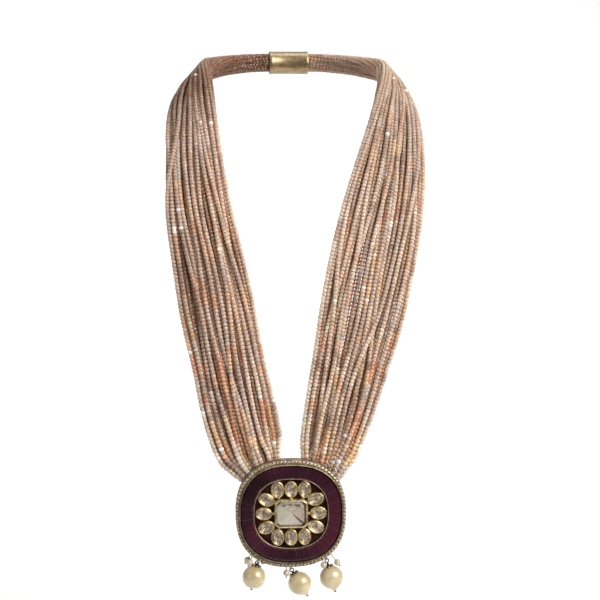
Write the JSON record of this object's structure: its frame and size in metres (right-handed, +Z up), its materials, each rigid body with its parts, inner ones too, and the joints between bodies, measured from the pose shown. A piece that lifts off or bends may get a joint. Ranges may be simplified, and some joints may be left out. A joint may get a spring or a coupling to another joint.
{
  "type": "kundan necklace",
  "caption": "Bead-strand necklace with a stone-set square-round pendant, a red stone band, oval settings and pearl drops, shaped as worn round a neck.",
  "frame": {"origin": "the point at the back of the neck where the clasp rests, on the inner side of the loop", "axes": "+Z up with the necklace worn, -Y forward towards a viewer, +X to that viewer's right; the pendant's face looks along -Y"},
  "size_m": [0.14, 0.1373, 0.2867],
  "materials": {
    "gold": "polished pale gold",
    "clear_stone": "small clear cut stones over foil",
    "centre_stone": "large clear cut stone over foil",
    "oval_stone": "champagne clear cut stones over foil",
    "ruby": "deep red cut stones",
    "enamel": "glossy dark maroon enamel",
    "drop_pearl": "cream gold pearl lustre",
    "seed_pearl": "pale pearl lustre",
    "beads": "small faceted beads in pearl white, peach, salmon, lilac grey and taupe"
  },
  "bodies": {
    "root": {"pendant_mount": "gold", "pave_stones": "clear_stone", "ruby_band": "ruby", "enamel_field": "enamel", "centre_stone": "centre_stone", "oval_stone_01": "oval_stone", "oval_stone_02": "oval_stone", "oval_stone_03": "oval_stone", "oval_stone_04": "oval_stone", "oval_stone_05": "oval_stone", "oval_stone_06": "oval_stone", "oval_stone_07": "oval_stone", "oval_stone_08": "oval_stone", "oval_stone_09": "oval_stone", "oval_stone_10": "oval_stone", "oval_stone_11": "oval_stone", "oval_stone_12": "oval_stone", "drop_pearl_left": "drop_pearl", "drop_pearl_middle": "drop_pearl", "drop_pearl_right": "drop_pearl", "drop_pin_left": "gold", "drop_pin_middle": "gold", "drop_pin_right": "gold", "seed_pearl_1": "seed_pearl", "seed_pearl_2": "seed_pearl", "seed_pearl_3": "seed_pearl", "seed_pearl_4": "seed_pearl", "seed_pearl_5": "seed_pearl", "seed_pearl_6": "seed_pearl", "bundle_left": "beads", "bundle_right": "beads", "clasp": "gold"}
  },
  "joints": []
}
